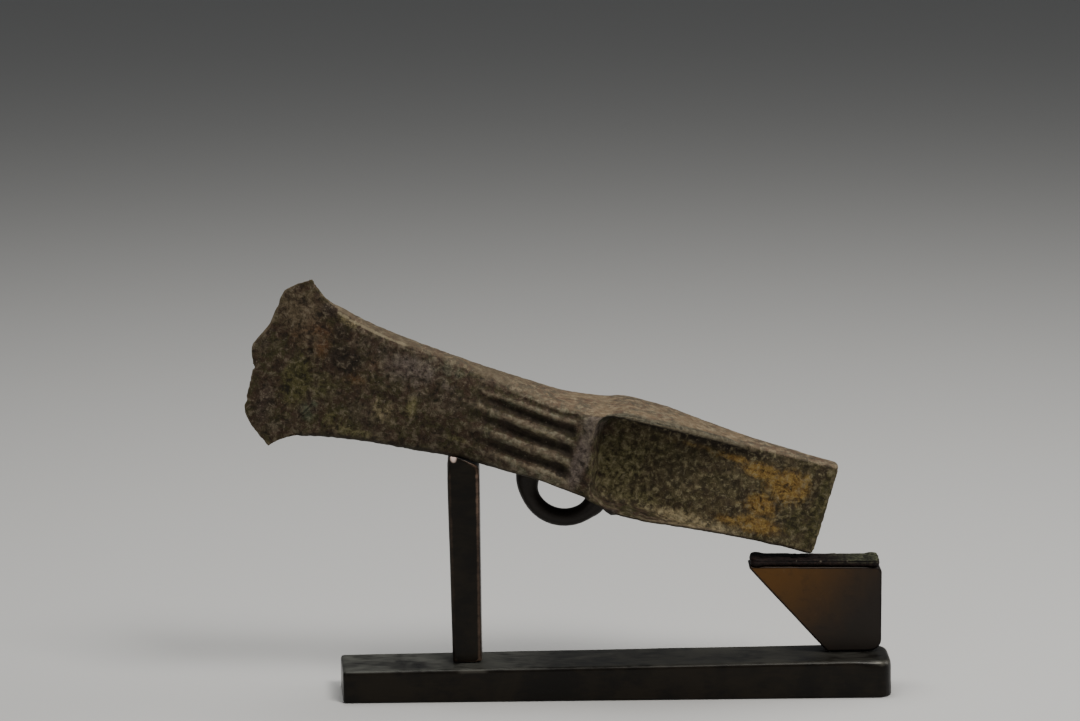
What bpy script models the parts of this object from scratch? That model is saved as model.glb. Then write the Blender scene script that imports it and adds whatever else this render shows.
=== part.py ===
"""A Bronze Age palstave (a looped, flanged axe head) lying on its small bronze display stand.

Metres, +Z up. The origin is the middle of the stand's underside, +X runs along the stand to the
butt end of the axe, and -Y is the side that is seen. The axe is modelled along its own axes: X from
the butt to the cutting edge, Y through its thickness, Z across its width.
"""

from math import ceil, cos, pi, radians, sin, sqrt, tan

import bmesh
import bpy
from mathutils import Matrix, Vector

# Space kept between two pieces that touch.
GAP = 0.0003

# Axe head: lengths along it, from the butt.
AXE_LENGTH = 0.1678
STOP_FROM_BUTT = 0.0692
BED_END_FROM_BUTT = 0.0693
RIBS_START_FROM_BUTT = 0.0742
RIBS_END_FROM_BUTT = 0.1100

# Axe head: widths and thicknesses.
BUTT_WIDTH = 0.0262
FLANGE_WIDTH = 0.0279
WAIST_WIDTH = 0.0215
LOWER_FALL = 0.0011
EDGE_WIDTH = 0.0494
FLARE_POWER = 1.4
BUTT_THICKNESS = 0.0078
STOP_THICKNESS = 0.0300
BLADE_SIDE_THICKNESS = 0.0084
EDGE_THICKNESS = 0.0010
FACE_CROWN = 0.0026
KEEL = 0.0012
CORNER_ROUND = 0.0006

# Axe head: the two beds for the split haft.
SEPTUM_THICKNESS = 0.0108
UPPER_CREST = 0.0014
LOWER_CREST = 0.0010
STOP_RIM = 0.0009
STOP_SKEW = 0.20
STOP_BEND_LENGTH = 0.0100
UPPER_BED_CORNER = 0.0056
LOWER_BED_CORNER = 0.0040
RIM_CORNER = 0.0048
BED_FILLET = 0.0020
SIDE_DRAFT = tan(radians(6))
STOP_DRAFT = tan(radians(14))
BED_PAST_END = 0.0083
BED_PAST_CREST = 0.0030
BED_STEPS = 8

# Axe head: the ribbed field below the stop. Ribs and grooves have their places as shares of the
# field's half width, and the grooves their depths as shares of the deepest one.
RIB_FIELD_HALF = 0.0099
GROOVE_DEPTH = 0.0019
GROOVES = ((0.96, 0.25), (0.495, 0.85), (-0.09, 1.0), (-0.66, 0.75))
RIBS = (0.727, 0.20, -0.374, -0.85)
RIB_RISE = 0.0004
RIB_START_LENGTH = 0.0020
RIB_FADE_LENGTH = 0.0180
RIB_DRIFT = 0.045
SPREAD_LENGTH = 0.0073
WIDEST_COLUMN = 0.0013

# Axe head: the side loop.
LOOP_FROM_BUTT = 0.0733
LOOP_HALF_SPAN = 0.0105
LOOP_DROP = 0.0105
LOOP_BAR_WIDTH = 0.0050
LOOP_BAR_THICKNESS = 0.0060
LOOP_ROOT_FLARE = 0.42
LOOP_ROOT_ANGLE = radians(22)
LOOP_STEPS = 24
LOOP_SIDES = 14

# How the axe lies on the stand.
AXE_TILT = radians(16.5)
AXE_TURN = radians(1.5)

# Stand: the base bar, hand-filed a little lower and out of square at the blade's end.
BASE_LENGTH = 0.1556
BASE_DEPTH = 0.0192
BASE_HEIGHT_LEFT = 0.0092
BASE_HEIGHT_RIGHT = 0.0108
BASE_CORNER_LEFT = 0.0010
BASE_CORNER_RIGHT = 0.0042
BASE_END_SKEW = 0.0015
BASE_EDGE_ROUND = 0.0010
BASE_FOOT_ROUND = 0.0004

# Stand: where its pieces stand, from the base's right end.
WEDGE_SET_IN = 0.00235
BUTT_FROM_WEDGE_END = 0.0200
POST_FROM_BUTT = 0.0971
WEDGE_RIGHT_X = BASE_LENGTH / 2 - WEDGE_SET_IN
BUTT_REST_X = WEDGE_RIGHT_X - BUTT_FROM_WEDGE_END
POST_X = BUTT_REST_X - POST_FROM_BUTT

# Stand: the notched post.
POST_FRONT_Y = -0.0030
POST_DEPTH = 0.0110
POST_TOP_WIDTH = 0.0092
POST_FOOT_WIDTH = 0.0083
POST_EDGE_ROUND = 0.0012
POST_TOP_SLOPE = radians(10)
LIP_RISE = 0.0020
NOTCH_REACH = 0.9 * POST_TOP_WIDTH
NOTCH_STEPS = 6

# Stand: the wedge block and the pad on it.
WEDGE_FRONT_Y = 0.0
WEDGE_DEPTH = 0.0085
WEDGE_TOP_LENGTH = 0.0374
WEDGE_FOOT_LENGTH = 0.0154
WEDGE_HEIGHT = 0.0243
WEDGE_TIP_HEIGHT = 0.0006
WEDGE_CORNER = 0.0032
WEDGE_EDGE_ROUND = 0.0005
WEDGE_TOP_SLOPE = radians(0.8)
PAD_INSET_TIP = 0.0007
PAD_INSET_END = 0.0009
PAD_THICKNESS = 0.0018
PAD_SEAM_FROM_TOP = 0.0006
PAD_SEAM_DEPTH = 0.0004
PAD_END_ROUND = 0.0014
PAD_TOP_SET_BACK = 0.0001
PAD_TOP_EDGE = 0.0002
PAD_OVERHANG = 0.0003

ARC_STEPS = 5
FILLET_STEPS = 3


def clear_scene():
    for thing in list(bpy.data.objects):
        bpy.data.objects.remove(thing, do_unlink=True)


def plain_material(name, colour, roughness, metallic):
    material = bpy.data.materials.new(name)
    material.use_nodes = True
    shader = material.node_tree.nodes["Principled BSDF"]
    shader.inputs["Base Color"].default_value = (*colour, 1)
    shader.inputs["Roughness"].default_value = roughness
    shader.inputs["Metallic"].default_value = metallic
    return material


def make_object(name, bm, material=None, parent=None):
    bmesh.ops.recalc_face_normals(bm, faces=bm.faces[:])
    mesh = bpy.data.meshes.new(name)
    bm.to_mesh(mesh)
    bm.free()
    if material:
        mesh.materials.append(material)
    thing = bpy.data.objects.new(name, mesh)
    bpy.context.collection.objects.link(thing)
    thing.parent = parent
    return thing


def make_guide(name, bm, parent=None):
    """A solid that only cuts or joins another one, and isn't a piece itself."""
    guide = make_object(name, bm, parent=parent)
    guide.hide_render = True
    guide.display_type = "WIRE"
    return guide


def shade(thing, angle):
    thing.data.shade_smooth()
    thing.data.set_sharp_from_angle(angle=radians(angle))


def combine(thing, guide, operation):
    modifier = thing.modifiers.new(guide.name, "BOOLEAN")
    modifier.operation = operation
    modifier.object = guide
    modifier.solver = "EXACT"


def round_edges(thing, width, angle):
    bevel = thing.modifiers.new("edge_round", "BEVEL")
    bevel.width = width
    bevel.segments = 2
    bevel.limit_method = "ANGLE"
    bevel.angle_limit = radians(angle)


def loft(rings, caps=True):
    """A skin through rings of equally many points. Flat caps close its ends."""
    bm = bmesh.new()
    skin = [[bm.verts.new(point) for point in ring] for ring in rings]
    count = len(rings[0])
    for one, two in zip(skin, skin[1:]):
        for i in range(count):
            j = (i + 1) % count
            bm.faces.new((one[i], one[j], two[j], two[i]))
    if caps:
        bm.faces.new(skin[0])
        bm.faces.new(skin[-1])
    return bm, skin


def smooth_curve(stations, x):
    """A cubic through the stations that doesn't overshoot between them."""
    if x <= stations[0][0]:
        return stations[0][1]
    if x >= stations[-1][0]:
        return stations[-1][1]
    slopes = [(b[1] - a[1]) / (b[0] - a[0]) for a, b in zip(stations, stations[1:])]
    lean = [slopes[0]]
    for before, after in zip(slopes, slopes[1:]):
        lean.append(2 * before * after / (before + after) if before * after > 0 else 0.0)
    lean.append(slopes[-1])
    for i, (a, b) in enumerate(zip(stations, stations[1:])):
        if x <= b[0]:
            step = b[0] - a[0]
            t = (x - a[0]) / step
            rise = (2 * t - 3) * t * t
            return (a[1] * (1 + rise) - b[1] * rise
                    + step * lean[i] * t * (1 - t) ** 2 - step * lean[i + 1] * t * t * (1 - t))


def ramp(start, end, x):
    """0 before start, 1 after end, easing between them."""
    t = min(1.0, max(0.0, (x - start) / (end - start)))
    return t * t * (3 - 2 * t)


# The axe's form. Shares of the haft part run from the butt to the stop, and shares of the blade
# part from the stop to the foremost point of the cutting edge.

BLADE_LENGTH = AXE_LENGTH - STOP_FROM_BUTT
# Share of the blade part where the tips start to flare.
FLARE_SHARE = 0.793
FLARE_FROM_BUTT = STOP_FROM_BUTT + FLARE_SHARE * BLADE_LENGTH

# Share of the haft part, share of the way from the butt's half width to the flanges'.
HAFT_WIDTHS = ((0.0, 0.0), (0.29, -0.2), (0.52, 0.35), (0.72, 1.0), (0.88, 0.72), (0.955, 0.25))
# Share of the haft part, share of the lower side's extra fall.
LOWER_FALLS = ((0.20, 0.0), (0.45, 0.5), (0.75, 0.5), (0.90, 0.85), (0.965, 1.0), (1.04, 0.7),
               (1.23, 0.3), (1.42, 0.0))
# Share of the blade part, share of the widening from the waist to the tips.
BLADE_WIDTHS = ((0.010, 0.085), (0.050, 0.040), (0.125, 0.0), (0.21, 0.054), (0.29, 0.093),
                (0.394, 0.154), (0.535, 0.233), (0.647, 0.319), (0.718, 0.398), (FLARE_SHARE, 0.548))
# Share of the haft part, share of the way from the butt's thickness to the stop's.
HAFT_RISE = ((0.0, 0.0), (0.145, 0.054), (0.32, 0.18), (0.43, 0.28), (0.52, 0.47), (0.61, 0.61),
             (0.69, 0.84), (0.78, 0.96), (0.87, 1.0), (1.0, 0.98))
# Share of the blade part, share of the way from the blade's side thickness to the stop's.
NECK_FALL = ((0.011, 0.965), (0.052, 0.83), (0.125, 0.75), (0.19, 0.57), (0.25, 0.35), (0.32, 0.13),
             (0.394, 0.02), (0.51, -0.01))
# Share of the blade part, share of the blade's side thickness.
EDGE_FALL = ((0.63, 1.0), (0.73, 0.84), (FLARE_SHARE, 0.54), (0.88, 0.26))
# Share of the blade part, share of the crown of the faces.
CROWN = ((0.010, 0.0), (0.050, 0.2), (0.125, 0.32), (0.19, 0.55), (0.25, 0.8), (0.32, 1.0),
         (0.394, 0.95), (0.51, 0.62), (0.63, 0.32), (0.73, 0.2), (FLARE_SHARE, 0.22), (0.88, 0.2),
         (1.0, 0.0))
# The worn and broken cutting edge: place across as a share of its half width, and set-back from
# the foremost point as a share of the tips'.
TIP_SET_BACK = 0.0118
CUTTING_EDGE = ((-1.0, 1.0), (-0.83, 0.50), (-0.655, 0.195), (-0.45, 0.186), (-0.30, 0.153),
                (-0.215, 0.195), (-0.036, 0.06), (0.03, 0.0), (0.105, 0.0), (0.243, 0.144),
                (0.365, 0.263), (0.67, 0.339), (0.785, 0.39), (0.84, 0.44), (1.0, 0.958))


def haft_share(x):
    return x / STOP_FROM_BUTT


def blade_share(x):
    return (x - STOP_FROM_BUTT) / BLADE_LENGTH


def half_width(x):
    """Half the width between the corners of the narrow sides, up to where the tips flare."""
    butt, flange, waist = BUTT_WIDTH / 2, FLANGE_WIDTH / 2, WAIST_WIDTH / 2
    stations = [(share * STOP_FROM_BUTT, butt + rise * (flange - butt)) for share, rise in HAFT_WIDTHS]
    for share, rise in BLADE_WIDTHS:
        stations.append((STOP_FROM_BUTT + share * BLADE_LENGTH, waist + rise * (EDGE_WIDTH / 2 - waist)))
    return smooth_curve(stations, x)


def lower_fall(x):
    """How much lower the lower narrow side lies than the upper one's mirror image."""
    return LOWER_FALL * smooth_curve(LOWER_FALLS, haft_share(x))


def side_half_thickness(x):
    """Half the thickness of the narrow sides."""
    butt, stop, blade = BUTT_THICKNESS / 2, STOP_THICKNESS / 2, BLADE_SIDE_THICKNESS / 2
    stations = [(share * STOP_FROM_BUTT, butt + rise * (stop - butt)) for share, rise in HAFT_RISE]
    for share, rise in NECK_FALL:
        stations.append((STOP_FROM_BUTT + share * BLADE_LENGTH, blade + rise * (stop - blade)))
    for share, left in EDGE_FALL:
        stations.append((STOP_FROM_BUTT + share * BLADE_LENGTH, blade * left))
    stations.append((AXE_LENGTH, EDGE_THICKNESS / 2))
    return smooth_curve(stations, x)


def crown(x):
    """How much thicker each face is in its middle than at its corners."""
    return FACE_CROWN * smooth_curve(CROWN, blade_share(x))


def keel(x):
    """How far the middle of each narrow side stands out past its corners."""
    growing = 0.6 + 0.4 * ramp(0.5, 1.0, haft_share(x))
    dying = 1 - 0.85 * ramp(0.7, 0.95, blade_share(x))
    return KEEL * growing * dying


def field_half_width(x):
    """Half the width of the field across which the ribs' points are spread."""
    plain = half_width(x) - 0.5 * KEEL - CORNER_ROUND
    ribbed = ramp(STOP_FROM_BUTT, RIBS_START_FROM_BUTT, x)
    ribbed *= 1 - ramp(RIBS_END_FROM_BUTT - SPREAD_LENGTH, RIBS_END_FROM_BUTT + SPREAD_LENGTH, x)
    return plain + ribbed * (min(RIB_FIELD_HALF, plain) - plain)


def rib_strength(x):
    starting = ramp(RIBS_START_FROM_BUTT, RIBS_START_FROM_BUTT + RIB_START_LENGTH, x)
    return starting * (1 - ramp(RIBS_END_FROM_BUTT - RIB_FADE_LENGTH, RIBS_END_FROM_BUTT, x))


def rib_drift(x, share):
    """How far the ribs have climbed towards the upper side at one place along them."""
    fading = 1 - ramp(RIBS_END_FROM_BUTT, RIBS_END_FROM_BUTT + RIB_FADE_LENGTH, x)
    return RIB_DRIFT * max(0.0, x - RIBS_START_FROM_BUTT) * fading * (1 - share ** 2)


def columns():
    """Places across the face as shares, lower to upper, each with the ribbed relief's height."""
    turning = [(-1.0, 0.0), (1.0, 0.0)]
    turning += [(place, RIB_RISE) for place in RIBS]
    turning += [(place, -depth * GROOVE_DEPTH) for place, depth in GROOVES]
    turning.sort()
    points = [turning[0]]
    for before, after in zip(turning, turning[1:]):
        steps = ceil((after[0] - before[0]) * RIB_FIELD_HALF / WIDEST_COLUMN)
        for k in range(1, steps + 1):
            eased = 0.5 - 0.5 * cos(pi * k / steps)
            points.append((before[0] + (after[0] - before[0]) * k / steps,
                           before[1] + (after[1] - before[1]) * eased))
    return points


def stop_line(z, half, corner):
    """How far the stop's line lies ahead of its named place at one height across."""
    beyond = max(0.0, abs(z) - (half - corner))
    drop = corner - sqrt(max(0.0, corner ** 2 - min(corner, beyond) ** 2))
    return STOP_SKEW * z - drop


def edge_from_butt(share):
    """The cutting edge's place along the axe, at a share of its half width across."""
    for (a, back_a), (b, back_b) in zip(CUTTING_EDGE, CUTTING_EDGE[1:]):
        if share <= b:
            t = max(0.0, (share - a) / (b - a))
            return AXE_LENGTH - TIP_SET_BACK * (back_a + t * (back_b - back_a))
    return AXE_LENGTH - TIP_SET_BACK * CUTTING_EDGE[-1][1]


def bent(x, z):
    """How far a skin point moves along the axe to follow the stop's curved line."""
    near = ramp(BED_END_FROM_BUTT - STOP_BEND_LENGTH, BED_END_FROM_BUTT - 2 * STOP_RIM, x)
    near *= 1 - ramp(BED_END_FROM_BUTT + 2 * STOP_RIM, RIBS_START_FROM_BUTT + 2 * RIB_START_LENGTH, x)
    half = half_width(BED_END_FROM_BUTT) + (lower_fall(BED_END_FROM_BUTT) if z < 0 else 0)
    return near * stop_line(z, half, RIM_CORNER)


def placed(x, y, z, flare):
    """A skin point, bent to the stop's curved line or drawn out to the cutting edge."""
    if flare > 0:
        share = z / half_width(x)
        end_x, end_z = edge_from_butt(share), share * EDGE_WIDTH / 2
        return Vector((x + flare * (end_x - x), y, z + flare ** FLARE_POWER * (end_z - z)))
    return Vector((x + bent(x, z), y, z))


def section(x, flare=0.0, grow=0.0, shrink=0.0):
    """The closed ring of points round the axe at one place along it."""
    reach = x + flare * (AXE_LENGTH - x)
    half = half_width(x) + grow - shrink
    side = side_half_thickness(reach) + grow - shrink
    corner = min(CORNER_ROUND, 0.4 * side)
    bulge = keel(reach)
    lift = crown(reach)
    strength = rib_strength(x) if not grow else 0.0
    spread = field_half_width(x) + grow - shrink
    fall = lower_fall(x)
    face = []
    for place, relief in columns():
        z = place * spread + rib_drift(x, place)
        height = side + lift * (1 - (z / half) ** 2) + relief * strength
        face.append((height, z - fall * min(0.0, place) ** 2))
    rim = []
    for share in (0.0, 0.42, 0.80):
        rim.append((share * side, half + bulge * (1 - share ** 2)))
    rim.append((side - corner, half))
    rim.append((side, half - corner))
    front = [(y, -z - fall) for y, z in rim] + face + [(y, z) for y, z in reversed(rim)]
    back = [(-y, z) for y, z in front[-2:0:-1]]
    return [placed(x, y, z, flare) for y, z in front + back]


def station_list():
    """Places along the axe and shares of the flare, from the butt to the cutting edge."""
    places = [share * STOP_FROM_BUTT for share in (0.012, 0.07, 0.145, 0.23, 0.32, 0.40, 0.48, 0.56)]
    places += [share * STOP_FROM_BUTT for share in (0.64, 0.72, 0.80, 0.87, 0.925)]
    crest_end = BED_END_FROM_BUTT + STOP_RIM
    places += [BED_END_FROM_BUTT - 2 * STOP_RIM, BED_END_FROM_BUTT, crest_end]
    places += [(crest_end + RIBS_START_FROM_BUTT) / 2, RIBS_START_FROM_BUTT]
    places += [RIBS_START_FROM_BUTT + share * RIB_START_LENGTH for share in (0.5, 1.0)]
    ribbed = RIBS_END_FROM_BUTT - places[-1]
    places += [places[-1] + ribbed * k / 8 for k in range(1, 8)] + [RIBS_END_FROM_BUTT]
    plain = FLARE_FROM_BUTT - RIBS_END_FROM_BUTT
    places += [RIBS_END_FROM_BUTT + plain * k / 8 for k in range(1, 8)]
    flares = (0.0, 0.2, 0.42, 0.66, 0.87, 1.0)
    return [(x, 0.0) for x in places] + [(FLARE_FROM_BUTT, share) for share in flares]


def close_end(bm, ring):
    """Closes an end with a strip between the ring's front half and its back half."""
    half = len(ring) // 2
    for k in range(half):
        front_a, front_b = ring[k], ring[k + 1]
        back_a, back_b = ring[-k % len(ring)], ring[-(k + 1) % len(ring)]
        corners = [front_a, front_b, back_b, back_a]
        bm.faces.new([v for i, v in enumerate(corners) if v not in corners[:i]])


def axe_body():
    rings = [section(0.0, shrink=CORNER_ROUND)]
    rings += [section(x, flare) for x, flare in station_list()]
    bm, skin = loft(rings, caps=False)
    close_end(bm, skin[0])
    close_end(bm, skin[-1])
    return bm


def bed_wall(x, level, crest, way):
    """How far the bed's upper (way 1) or lower (way -1) wall stands from the axis at one height."""
    top = max(side_half_thickness(x), SEPTUM_THICKNESS / 2)
    fall = lower_fall(x) if way < 0 else 0
    return half_width(x) + fall - crest - (top - level) * SIDE_DRAFT


def bed_ring(level, inset, side):
    """The outline of a haft bed at one height, open past the butt and rounded at the stop."""
    stop_x = BED_END_FROM_BUTT - (STOP_THICKNESS / 2 - level) * STOP_DRAFT - inset
    last_x = BED_END_FROM_BUTT - 2 * UPPER_BED_CORNER
    outline = []
    for way, corner, crest in ((1, UPPER_BED_CORNER, UPPER_CREST), (-1, LOWER_BED_CORNER, LOWER_CREST)):
        half = bed_wall(BED_END_FROM_BUTT - corner, level, crest, way) - inset
        run = []
        for k in range(BED_STEPS):
            x = -BED_PAST_END + (last_x + BED_PAST_END) * k / (BED_STEPS - 1)
            run.append((x, way * (bed_wall(max(0.0, x), level, crest, way) - inset)))
        for k in range(ARC_STEPS + 1):
            angle = 0.5 * pi * k / ARC_STEPS
            z = way * (half - corner * (1 - cos(angle)))
            run.append((stop_x + STOP_SKEW * z - corner * (1 - sin(angle)), z))
        outline += run[::way]
    return [Vector((x, side * level, z)) for x, z in outline]


def haft_bed(side):
    """The solid that hollows one haft bed out of the axe's body."""
    floor = SEPTUM_THICKNESS / 2
    rings = []
    for k in range(FILLET_STEPS + 1):
        angle = 0.5 * pi * k / FILLET_STEPS
        rings.append(bed_ring(floor + BED_FILLET * (1 - cos(angle)), BED_FILLET * (1 - sin(angle)), side))
    rings.append(bed_ring(STOP_THICKNESS / 2 + BED_PAST_CREST, 0.0, side))
    return loft(rings)[0]


def loop_body():
    """A bar bent to half an ellipse on the lower narrow side, its ends sunk in the casting."""
    middle = Vector((LOOP_FROM_BUTT, 0, -half_width(LOOP_FROM_BUTT) - 0.4 * KEEL))
    first, last = -LOOP_ROOT_ANGLE, pi + LOOP_ROOT_ANGLE
    rings = []
    for k in range(LOOP_STEPS + 1):
        angle = first + (last - first) * k / LOOP_STEPS
        centre = middle + Vector((LOOP_HALF_SPAN * cos(angle), 0, -LOOP_DROP * sin(angle)))
        outward = Vector((LOOP_DROP * cos(angle), 0, -LOOP_HALF_SPAN * sin(angle))).normalized()
        flare = 1 + LOOP_ROOT_FLARE * (1 - ramp(0.0, 0.75, sin(max(0.0, min(pi, angle)))))
        ring = []
        for i in range(LOOP_SIDES):
            turn = 2 * pi * (i + 0.5) / LOOP_SIDES
            width = 0.5 * LOOP_BAR_WIDTH * flare * cos(turn)
            ring.append(centre + outward * width + Vector((0, 0.5 * LOOP_BAR_THICKNESS * sin(turn), 0)))
        rings.append(ring)
    return loft(rings)[0]


def make_axe(material):
    axe = make_object("axe_head", axe_body(), material)
    combine(axe, make_guide("loop_form", loop_body(), axe), "UNION")
    combine(axe, make_guide("bed_front_form", haft_bed(1), axe), "DIFFERENCE")
    combine(axe, make_guide("bed_back_form", haft_bed(-1), axe), "DIFFERENCE")
    shade(axe, 32)
    return axe


# The stand.

def base_top(x):
    """Height of the base bar's upper face, which rises towards the butt's end."""
    return BASE_HEIGHT_LEFT + (BASE_HEIGHT_RIGHT - BASE_HEIGHT_LEFT) * (x / BASE_LENGTH + 0.5)


def rounded_corner(x, y, radius, first):
    """Points of a quarter arc round a corner's centre, starting at a quarter turn's number."""
    return [(x + radius * cos(0.5 * pi * (first + k / ARC_STEPS)),
             y + radius * sin(0.5 * pi * (first + k / ARC_STEPS))) for k in range(ARC_STEPS + 1)]


def base_outline(inset):
    """The base bar from above. Its left end runs back at a slant."""
    half_x, half_y = BASE_LENGTH / 2, BASE_DEPTH / 2
    left, right = BASE_CORNER_LEFT, BASE_CORNER_RIGHT
    points = rounded_corner(half_x - right, half_y - right, right - inset, 0)
    points += rounded_corner(-half_x + left, half_y - left, left - inset, 1)
    points += rounded_corner(-half_x + BASE_END_SKEW + left, -half_y + left, left - inset, 2)
    points += rounded_corner(half_x - right, -half_y + right, right - inset, 3)
    return points


def make_base(material):
    rings = []
    for k in range(FILLET_STEPS + 1):
        angle = 0.5 * pi * k / FILLET_STEPS
        outline = base_outline(BASE_FOOT_ROUND * (1 - sin(angle)))
        rings.append([Vector((x, y, BASE_FOOT_ROUND * (1 - cos(angle)))) for x, y in outline])
    for k in range(FILLET_STEPS + 1):
        angle = 0.5 * pi * k / FILLET_STEPS
        outline = base_outline(BASE_EDGE_ROUND * (1 - cos(angle)))
        drop = BASE_EDGE_ROUND * (1 - sin(angle))
        rings.append([Vector((x, y, base_top(x) - drop)) for x, y in outline])
    base = make_object("stand_base", loft(rings)[0], material)
    shade(base, 40)
    return base


def wedge_top(x):
    """Height of the wedge's upper face, which falls a little towards its end."""
    return base_top(WEDGE_RIGHT_X) + GAP + WEDGE_HEIGHT + (WEDGE_RIGHT_X - x) * tan(WEDGE_TOP_SLOPE)


def pad_top(x):
    return wedge_top(x) + GAP + PAD_THICKNESS


def make_wedge(material):
    tip_x = WEDGE_RIGHT_X - WEDGE_TOP_LENGTH
    foot_x = WEDGE_RIGHT_X - WEDGE_FOOT_LENGTH
    radius = WEDGE_CORNER
    foot_z = base_top(WEDGE_RIGHT_X - radius) + GAP
    outline = [(foot_x, base_top(foot_x) + GAP)]
    outline += rounded_corner(WEDGE_RIGHT_X - radius, foot_z + radius, radius, 3)
    upper = 0.5 * radius
    outline += rounded_corner(WEDGE_RIGHT_X - upper, wedge_top(WEDGE_RIGHT_X) - upper, upper, 0)
    outline += [(tip_x, wedge_top(tip_x)), (tip_x, wedge_top(tip_x) - WEDGE_TIP_HEIGHT)]
    rings = [[Vector((x, y, z)) for x, z in outline] for y in (WEDGE_FRONT_Y, WEDGE_FRONT_Y + WEDGE_DEPTH)]
    wedge = make_object("stand_wedge", loft(rings)[0], material)
    round_edges(wedge, WEDGE_EDGE_ROUND, 30)
    shade(wedge, 30)
    return wedge


def make_pad(material):
    """Two thin plies pressed together, with the seam between them running round the edge."""
    left = WEDGE_RIGHT_X - WEDGE_TOP_LENGTH + PAD_INSET_TIP
    right = WEDGE_RIGHT_X - PAD_INSET_END
    front = WEDGE_FRONT_Y - PAD_OVERHANG
    back = WEDGE_FRONT_Y + WEDGE_DEPTH - PAD_OVERHANG
    soft = 0.25 * PAD_THICKNESS
    seam = PAD_THICKNESS - PAD_SEAM_FROM_TOP
    levels = ((0.0, soft), (soft, 0.0), (seam - PAD_TOP_EDGE, 0.0), (seam, PAD_SEAM_DEPTH),
              (seam + PAD_TOP_EDGE, PAD_TOP_SET_BACK), (PAD_THICKNESS - PAD_TOP_EDGE, PAD_TOP_SET_BACK),
              (PAD_THICKNESS, soft))
    radius = PAD_END_ROUND
    rings = []
    for level, inset in levels:
        points = rounded_corner(right - radius, back - radius, radius - inset, 0)
        points += rounded_corner(left + radius, back - radius, radius - inset, 1)
        points += rounded_corner(left + radius, front + radius, radius - inset, 2)
        points += rounded_corner(right - radius, front + radius, radius - inset, 3)
        rings.append([Vector((x, y, wedge_top(x) + GAP + level)) for x, y in points])
    pad = make_object("wedge_pad", loft(rings)[0], material)
    shade(pad, 50)
    return pad


def lay_axe(axe):
    """Sets the butt's lower corner on the pad and the centre plane over the middle of the post."""
    turn = Matrix.Rotation(pi + AXE_TURN, 3, "Z") @ Matrix.Rotation(-AXE_TILT, 3, "Y")
    near_butt = [turn @ v.co for v in axe.data.vertices if v.co.x < 0.2 * STOP_FROM_BUTT]
    lowest = min(near_butt, key=lambda point: point.z)
    middle_y = POST_FRONT_Y + POST_DEPTH / 2
    place = Vector((BUTT_REST_X - lowest.x, 0, pad_top(BUTT_REST_X) + GAP - lowest.z))
    place.y = middle_y + (place.x - POST_X) * tan(AXE_TURN)
    axe.rotation_euler = (0, -AXE_TILT, pi + AXE_TURN)
    axe.location = place
    return Matrix.Translation(place) @ turn.to_4x4()


def axe_place_over(x, lie):
    """The place along the axe whose lower narrow side lies over one place along the stand."""
    low, high = 0.0, AXE_LENGTH
    for _ in range(40):
        half = (low + high) / 2
        if (lie @ Vector((half, 0, -half_width(half) - keel(half)))).x > x:
            low = half
        else:
            high = half
    return low


def post_plan(left_x, right_x):
    """The post's outline from above, with rounded edges."""
    r = POST_EDGE_ROUND
    front, back = POST_FRONT_Y + r, POST_FRONT_Y + POST_DEPTH - r
    points = rounded_corner(right_x - r, back, r, 0)
    points += rounded_corner(left_x + r, back, r, 1)
    points += rounded_corner(left_x + r, front, r, 2)
    points += rounded_corner(right_x - r, front, r, 3)
    return points


def make_post(material, axe, lie):
    """A tapered post whose notched top takes the lower narrow side of the blade."""
    along = axe_place_over(POST_X, lie)
    keel_z = (lie @ Vector((along, 0, -half_width(along) - keel(along)))).z
    right_x = POST_X + (POST_TOP_WIDTH + POST_FOOT_WIDTH) / 4
    foot = [Vector((x, y, base_top(x) + GAP)) for x, y in post_plan(right_x - POST_FOOT_WIDTH, right_x)]
    top = [Vector((x, y, keel_z + LIP_RISE - (x - POST_X) * tan(POST_TOP_SLOPE)))
           for x, y in post_plan(right_x - POST_TOP_WIDTH, right_x)]
    post = make_object("stand_post", loft([foot, top])[0], material)
    places = [along + NOTCH_REACH * (2 * k / NOTCH_STEPS - 1) for k in range(NOTCH_STEPS + 1)]
    notch, skin = loft([section(x, grow=GAP) for x in places], caps=False)
    close_end(notch, skin[0])
    close_end(notch, skin[-1])
    combine(post, make_guide("notch_form", notch, axe), "DIFFERENCE")
    shade(post, 40)
    return post


def main():
    clear_scene()
    patina = plain_material("axe_bronze", (0.115, 0.088, 0.060), 0.62, 0.45)
    dark_stand = plain_material("stand_bronze", (0.030, 0.024, 0.019), 0.38, 0.80)
    wedge_bronze = plain_material("wedge_bronze", (0.090, 0.055, 0.025), 0.40, 0.80)
    pad_stuff = plain_material("pad_leather", (0.060, 0.040, 0.030), 0.70, 0.0)
    make_base(dark_stand)
    make_wedge(wedge_bronze)
    make_pad(pad_stuff)
    axe = make_axe(patina)
    lie = lay_axe(axe)
    make_post(dark_stand, axe, lie)


main()
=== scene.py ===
"""The looks of a Bronze Age palstave lying on its small bronze stand.

Metres, in the part's own frame. Relief on the axe is worked out in millimetres along its own axes:
u from the butt to the cutting edge, w through the thickness towards the seen side, v across the width.
"""

from math import cos, pi, radians, sin

import bpy
import numpy as np
from mathutils import Matrix, Vector


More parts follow.
